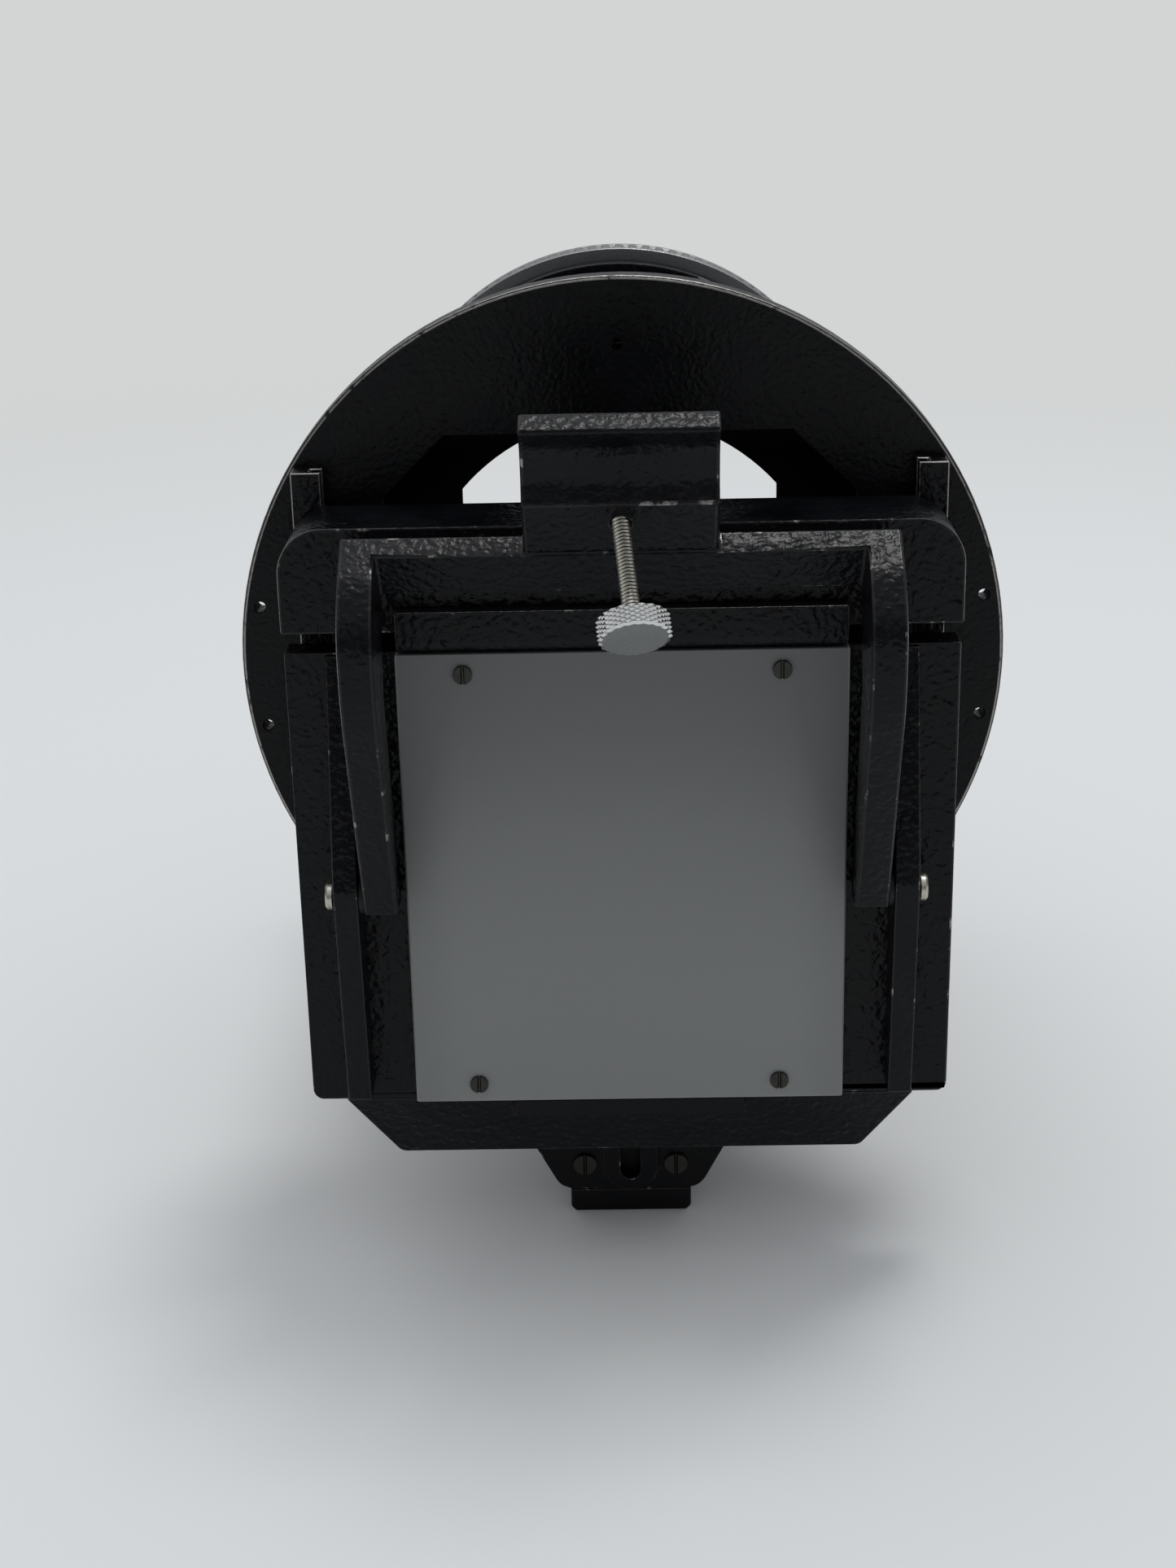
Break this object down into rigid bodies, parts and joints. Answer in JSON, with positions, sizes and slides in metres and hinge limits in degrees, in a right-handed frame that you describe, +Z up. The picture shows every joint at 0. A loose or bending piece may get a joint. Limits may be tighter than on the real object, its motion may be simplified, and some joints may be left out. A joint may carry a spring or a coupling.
{
  "type": "negative carrier",
  "caption": "Film and slide copying carrier: opal diffuser and swinging clamp yoke on a stage that slides on a turning disc, with bellows, lens ring and rail foot.",
  "frame": {"origin": "centre of the foot's flat base face, on the surface it stands on", "axes": "+X to the right seen from the diffuser side, +Y along the optical axis from the diffuser to the lens end, +Z up"},
  "size_m": [0.175, 0.283, 0.2315],
  "materials": {
    "hammertone_paint": "glossy black hammertone enamel",
    "foot_paint": "satin black enamel, worn",
    "black_anodised": "matt black anodised",
    "nickel_screw": "nickel plated",
    "knurled_nickel": "knurled and polished nickel plate",
    "opal_acrylic": "satin opal acrylic",
    "clear_glass": "polished",
    "blank_plate": "satin black, blank",
    "brass_bush": "turned",
    "bellows_cloth": "pleated rubberised cloth",
    "ring_grey": "satin turned aluminium"
  },
  "bodies": {
    "base": {"foot_block": "foot_paint", "tripod_bush": "brass_bush", "rail": "foot_paint", "end_plate_front": "foot_paint", "end_plate_rear": "foot_paint", "end_screws_front": "nickel_screw", "end_screws_rear": "nickel_screw", "front_standard": "hammertone_paint", "standard_bolts": "nickel_screw", "standard_drum": "black_anodised", "baffle_plate": "black_anodised", "bellows_front_frame": "black_anodised", "bellows": "bellows_cloth"},
    "disc": {"mounting_disc": "hammertone_paint", "disc_hub": "black_anodised", "hub_retainer": "black_anodised", "retainer_screws": "nickel_screw", "guide_rail_left": "hammertone_paint", "guide_rail_right": "hammertone_paint"},
    "stage": {"slide_plate": "black_anodised", "stage_box": "black_anodised", "stage_plate": "hammertone_paint", "film_glass": "clear_glass", "top_block": "hammertone_paint", "gate_bar": "hammertone_paint", "cheek_left": "hammertone_paint", "cheek_right": "hammertone_paint", "pivot_screws": "nickel_screw", "pivot_washers": "nickel_screw", "apron": "hammertone_paint", "name_plate": "blank_plate", "diffuser_frame": "black_anodised", "opal_diffuser": "opal_acrylic", "opal_screws": "nickel_screw"},
    "yoke": {"yoke": "hammertone_paint"},
    "clamp_screw": {"clamp_screw_shank": "nickel_screw"},
    "clamp_knob": {"clamp_screw_knob": "knurled_nickel"},
    "lens_carriage": {"carriage_saddle": "hammertone_paint", "rear_standard": "hammertone_paint", "rear_post": "hammertone_paint", "lens_ring": "ring_grey", "bellows_rear_frame": "black_anodised"},
    "disc_lock": {"disc_lock_screw": "knurled_nickel"},
    "carriage_lock": {"carriage_lock_screw": "knurled_nickel"}
  },
  "joints": [
    {"name": "disc_turn", "type": "hinge", "parent": "base", "child": "disc", "pos_m": [0, -0.065, 0.144], "axis": [0, -1, 0], "continuous": true},
    {"name": "stage_slide", "type": "slide", "parent": "disc", "child": "stage", "axis": [0, 0, 1], "range_m": [0, 0.041]},
    {"name": "yoke_swing", "type": "hinge", "parent": "stage", "child": "yoke", "pos_m": [0, -0.09895, 0.10075], "axis": [1, 0, 0], "range_deg": [-3, 75]},
    {"name": "screw_travel", "type": "slide", "parent": "yoke", "child": "clamp_screw", "axis": [-0.0958, 0.6852, 0.722], "range_m": [-0.0015, 0.0061]},
    {"name": "screw_turn", "type": "hinge", "parent": "clamp_screw", "child": "clamp_knob", "pos_m": [0.0002, -0.11835, 0.18925], "axis": [-0.0958, 0.6852, 0.722], "range_deg": [-360, 2880]},
    {"name": "lens_slide", "type": "slide", "parent": "base", "child": "lens_carriage", "axis": [0, 1, 0], "range_m": [-0.075, 0.004], "deforming": ["bellows"]},
    {"name": "disc_lock_turn", "type": "hinge", "parent": "base", "child": "disc_lock", "pos_m": [0.06894, -0.0535, 0.08615], "axis": [0.766, 0, -0.6428], "range_deg": [0, 120]},
    {"name": "carriage_lock_turn", "type": "hinge", "parent": "lens_carriage", "child": "carriage_lock", "pos_m": [0.04, 0.111, 0.018], "axis": [1, 0, 0], "range_deg": [0, 120]}
  ],
  "couplings": [
    {"joint": "screw_travel", "follows": "screw_turn", "m_per_rad": 0.00011141}
  ]
}
